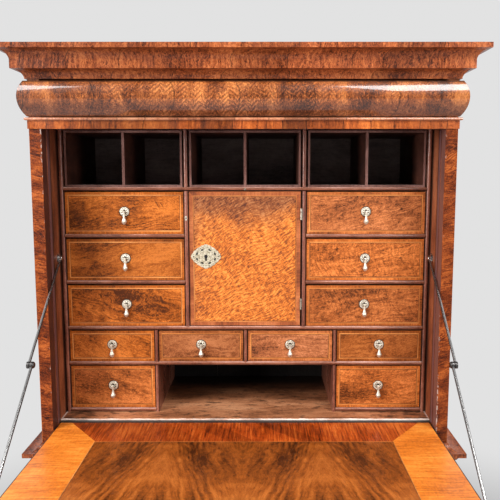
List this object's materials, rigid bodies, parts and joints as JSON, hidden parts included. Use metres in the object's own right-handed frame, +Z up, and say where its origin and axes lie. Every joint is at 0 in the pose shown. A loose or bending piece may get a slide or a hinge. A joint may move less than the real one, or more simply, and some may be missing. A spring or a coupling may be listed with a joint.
{
  "type": "fall-front cabinet",
  "caption": "Walnut fall-front writing cabinet with a nest of small drawers and pigeonholes, cushion frieze drawer, jointed stays and a lower chest of drawers on bun feet.",
  "frame": {"origin": "under the middle of the part with the fall open, on the floor", "axes": "+Z up, -Y towards the front where the fall opens, +X to the right seen from the front"},
  "size_m": [1.166, 1.1894, 1.689],
  "materials": {
    "walnut": "waxed figured veneer",
    "inner_wood": "dull, aged",
    "brass": "worn polish",
    "iron": "polished by hand, aged"
  },
  "bodies": {
    "fall": {"fall_board": "walnut", "fall_lock": "brass", "fall_plates": "iron"},
    "door": {"door_panel": "walnut", "door_escutcheon": "brass", "door_lock": "brass", "door_hinges": "brass"},
    "frieze_drawer": {"frieze_drawer": "walnut"},
    "drawer_left_lower": {"drawer_left_lower": "walnut"},
    "drawer_right_lower": {"drawer_right_lower": "walnut"},
    "drawer_left_middle": {"drawer_left_middle": "walnut"},
    "drawer_right_middle": {"drawer_right_middle": "walnut"},
    "drawer_left_upper": {"drawer_left_upper": "walnut"},
    "drawer_right_upper": {"drawer_right_upper": "walnut"},
    "drawer_row_far_left": {"drawer_row_far_left": "walnut"},
    "drawer_row_near_left": {"drawer_row_near_left": "walnut"},
    "drawer_row_near_right": {"drawer_row_near_right": "walnut"},
    "drawer_row_far_right": {"drawer_row_far_right": "walnut"},
    "drawer_corner_left": {"drawer_corner_left": "walnut"},
    "drawer_corner_right": {"drawer_corner_right": "walnut"},
    "drawer_short_left": {"drawer_short_left": "walnut"},
    "drawer_short_right": {"drawer_short_right": "walnut"},
    "drawer_long_upper": {"drawer_long_upper": "walnut"},
    "drawer_long_lower": {"drawer_long_lower": "walnut"},
    "drop_left_lower": {"drop_left_lower": "brass"},
    "drop_right_lower": {"drop_right_lower": "brass"},
    "drop_left_middle": {"drop_left_middle": "brass"},
    "drop_right_middle": {"drop_right_middle": "brass"},
    "drop_left_upper": {"drop_left_upper": "brass"},
    "drop_right_upper": {"drop_right_upper": "brass"},
    "drop_row_far_left": {"drop_row_far_left": "brass"},
    "drop_row_near_left": {"drop_row_near_left": "brass"},
    "drop_row_near_right": {"drop_row_near_right": "brass"},
    "drop_row_far_right": {"drop_row_far_right": "brass"},
    "drop_corner_left": {"drop_corner_left": "brass"},
    "drop_corner_right": {"drop_corner_right": "brass"},
    "drop_short_left": {"drop_short_left": "brass"},
    "drop_short_right": {"drop_short_right": "brass"},
    "drop_long_upper_left": {"drop_long_upper_left": "brass"},
    "drop_long_upper_right": {"drop_long_upper_right": "brass"},
    "drop_long_lower_left": {"drop_long_lower_left": "brass"},
    "drop_long_lower_right": {"drop_long_lower_right": "brass"},
    "stay_upper_right": {"stay_upper_right": "iron"},
    "stay_lower_right": {"stay_lower_right": "iron"},
    "stay_upper_left": {"stay_upper_left": "iron"},
    "stay_lower_left": {"stay_lower_left": "iron"},
    "root": {"bun_feet": "walnut", "base_moulding": "walnut", "lower_case": "walnut", "waist_moulding": "walnut", "upper_case": "walnut", "writing_floor": "walnut", "back_boards": "inner_wood", "cornice": "walnut", "frieze_rail": "walnut", "nest_shelves": "walnut", "nest_uprights": "walnut", "pigeonhole_boxes": "inner_wood", "fall_fixings": "iron", "door_fixings": "brass"}
  },
  "joints": [
    {"name": "fall_hinge", "type": "hinge", "parent": "root", "child": "fall", "pos_m": [0, 0.18075, 0.717], "axis": [1, 0, 0], "range_deg": [-90, 0]},
    {"name": "stay_upper_left_turn", "type": "hinge", "parent": "root", "child": "stay_upper_left", "pos_m": [-0.49, 0.24875, 1.162], "axis": [1, 0, 0], "range_deg": [0, 46.23]},
    {"name": "stay_lower_left_turn", "type": "hinge", "parent": "fall", "child": "stay_lower_left", "pos_m": [-0.4825, -0.26425, 0.737], "axis": [1, 0, 0], "range_deg": [-35.51, 0]},
    {"name": "stay_upper_right_turn", "type": "hinge", "parent": "root", "child": "stay_upper_right", "pos_m": [0.49, 0.24875, 1.162], "axis": [1, 0, 0], "range_deg": [0, 46.23]},
    {"name": "stay_lower_right_turn", "type": "hinge", "parent": "fall", "child": "stay_lower_right", "pos_m": [0.4825, -0.26425, 0.737], "axis": [1, 0, 0], "range_deg": [-35.51, 0]},
    {"name": "door_swing", "type": "hinge", "parent": "root", "child": "door", "pos_m": [0.1506, 0.27425, 0.9715], "axis": [0, 0, 1], "range_deg": [0, 90]},
    {"name": "frieze_slide", "type": "slide", "parent": "root", "child": "frieze_drawer", "axis": [0, -1, 0], "range_m": [0, 0.25]},
    {"name": "left_lower_slide", "type": "slide", "parent": "root", "child": "drawer_left_lower", "axis": [0, -1, 0], "range_m": [0, 0.2]},
    {"name": "right_lower_slide", "type": "slide", "parent": "root", "child": "drawer_right_lower", "axis": [0, -1, 0], "range_m": [0, 0.2]},
    {"name": "left_middle_slide", "type": "slide", "parent": "root", "child": "drawer_left_middle", "axis": [0, -1, 0], "range_m": [0, 0.2]},
    {"name": "right_middle_slide", "type": "slide", "parent": "root", "child": "drawer_right_middle", "axis": [0, -1, 0], "range_m": [0, 0.2]},
    {"name": "left_upper_slide", "type": "slide", "parent": "root", "child": "drawer_left_upper", "axis": [0, -1, 0], "range_m": [0, 0.2]},
    {"name": "right_upper_slide", "type": "slide", "parent": "root", "child": "drawer_right_upper", "axis": [0, -1, 0], "range_m": [0, 0.2]},
    {"name": "row_far_left_slide", "type": "slide", "parent": "root", "child": "drawer_row_far_left", "axis": [0, -1, 0], "range_m": [0, 0.2]},
    {"name": "row_near_left_slide", "type": "slide", "parent": "root", "child": "drawer_row_near_left", "axis": [0, -1, 0], "range_m": [0, 0.2]},
    {"name": "row_near_right_slide", "type": "slide", "parent": "root", "child": "drawer_row_near_right", "axis": [0, -1, 0], "range_m": [0, 0.2]},
    {"name": "row_far_right_slide", "type": "slide", "parent": "root", "child": "drawer_row_far_right", "axis": [0, -1, 0], "range_m": [0, 0.2]},
    {"name": "corner_left_slide", "type": "slide", "parent": "root", "child": "drawer_corner_left", "axis": [0, -1, 0], "range_m": [0, 0.2]},
    {"name": "corner_right_slide", "type": "slide", "parent": "root", "child": "drawer_corner_right", "axis": [0, -1, 0], "range_m": [0, 0.2]},
    {"name": "short_left_slide", "type": "slide", "parent": "root", "child": "drawer_short_left", "axis": [0, -1, 0], "range_m": [0, 0.28]},
    {"name": "short_right_slide", "type": "slide", "parent": "root", "child": "drawer_short_right", "axis": [0, -1, 0], "range_m": [0, 0.28]},
    {"name": "long_upper_slide", "type": "slide", "parent": "root", "child": "drawer_long_upper", "axis": [0, -1, 0], "range_m": [0, 0.28]},
    {"name": "long_lower_slide", "type": "slide", "parent": "root", "child": "drawer_long_lower", "axis": [0, -1, 0], "range_m": [0, 0.28]},
    {"name": "left_lower_drop", "type": "hinge", "parent": "drawer_left_lower", "child": "drop_left_lower", "pos_m": [-0.323, 0.26955, 1.03205], "axis": [-1, 0, 0], "range_deg": [0, 85]},
    {"name": "right_lower_drop", "type": "hinge", "parent": "drawer_right_lower", "child": "drop_right_lower", "pos_m": [0.323, 0.26955, 1.03205], "axis": [-1, 0, 0], "range_deg": [0, 85]},
    {"name": "left_middle_drop", "type": "hinge", "parent": "drawer_left_middle", "child": "drop_left_middle", "pos_m": [-0.323, 0.26955, 1.15805], "axis": [-1, 0, 0], "range_deg": [0, 85]},
    {"name": "right_middle_drop", "type": "hinge", "parent": "drawer_right_middle", "child": "drop_right_middle", "pos_m": [0.323, 0.26955, 1.15805], "axis": [-1, 0, 0], "range_deg": [0, 85]},
    {"name": "left_upper_drop", "type": "hinge", "parent": "drawer_left_upper", "child": "drop_left_upper", "pos_m": [-0.323, 0.26955, 1.28405], "axis": [-1, 0, 0], "range_deg": [0, 85]},
    {"name": "right_upper_drop", "type": "hinge", "parent": "drawer_right_upper", "child": "drop_right_upper", "pos_m": [0.323, 0.26955, 1.28405], "axis": [-1, 0, 0], "range_deg": [0, 85]},
    {"name": "row_far_left_drop", "type": "hinge", "parent": "drawer_row_far_left", "child": "drop_row_far_left", "pos_m": [-0.36562, 0.26955, 0.91955], "axis": [-1, 0, 0], "range_deg": [0, 85]},
    {"name": "row_near_left_drop", "type": "hinge", "parent": "drawer_row_near_left", "child": "drop_row_near_left", "pos_m": [-0.12187, 0.26955, 0.91955], "axis": [-1, 0, 0], "range_deg": [0, 85]},
    {"name": "row_near_right_drop", "type": "hinge", "parent": "drawer_row_near_right", "child": "drop_row_near_right", "pos_m": [0.12187, 0.26955, 0.91955], "axis": [-1, 0, 0], "range_deg": [0, 85]},
    {"name": "row_far_right_drop", "type": "hinge", "parent": "drawer_row_far_right", "child": "drop_row_far_right", "pos_m": [0.36562, 0.26955, 0.91955], "axis": [-1, 0, 0], "range_deg": [0, 85]},
    {"name": "corner_left_drop", "type": "hinge", "parent": "drawer_corner_left", "child": "drop_corner_left", "pos_m": [-0.36562, 0.26955, 0.80405], "axis": [-1, 0, 0], "range_deg": [0, 85]},
    {"name": "corner_right_drop", "type": "hinge", "parent": "drawer_corner_right", "child": "drop_corner_right", "pos_m": [0.36562, 0.26955, 0.80405], "axis": [-1, 0, 0], "range_deg": [0, 85]},
    {"name": "short_left_drop", "type": "hinge", "parent": "drawer_short_left", "child": "drop_short_left", "pos_m": [-0.2645, 0.13055, 0.57378], "axis": [-1, 0, 0], "range_deg": [0, 85]},
    {"name": "short_right_drop", "type": "hinge", "parent": "drawer_short_right", "child": "drop_short_right", "pos_m": [0.2645, 0.13055, 0.57378], "axis": [-1, 0, 0], "range_deg": [0, 85]},
    {"name": "long_upper_left_drop", "type": "hinge", "parent": "drawer_long_upper", "child": "drop_long_upper_left", "pos_m": [-0.3, 0.13055, 0.40428], "axis": [-1, 0, 0], "range_deg": [0, 85]},
    {"name": "long_upper_right_drop", "type": "hinge", "parent": "drawer_long_upper", "child": "drop_long_upper_right", "pos_m": [0.3, 0.13055, 0.40428], "axis": [-1, 0, 0], "range_deg": [0, 85]},
    {"name": "long_lower_left_drop", "type": "hinge", "parent": "drawer_long_lower", "child": "drop_long_lower_left", "pos_m": [-0.3, 0.13055, 0.21029], "axis": [-1, 0, 0], "range_deg": [0, 85]},
    {"name": "long_lower_right_drop", "type": "hinge", "parent": "drawer_long_lower", "child": "drop_long_lower_right", "pos_m": [0.3, 0.13055, 0.21029], "axis": [-1, 0, 0], "range_deg": [0, 85]}
  ],
  "couplings": [
    {"joint": "stay_upper_left_turn", "follows": "fall_hinge", "ratio": -0.51364},
    {"joint": "stay_lower_left_turn", "follows": "fall_hinge", "ratio": 0.39454},
    {"joint": "stay_upper_right_turn", "follows": "fall_hinge", "ratio": -0.51364},
    {"joint": "stay_lower_right_turn", "follows": "fall_hinge", "ratio": 0.39454}
  ]
}
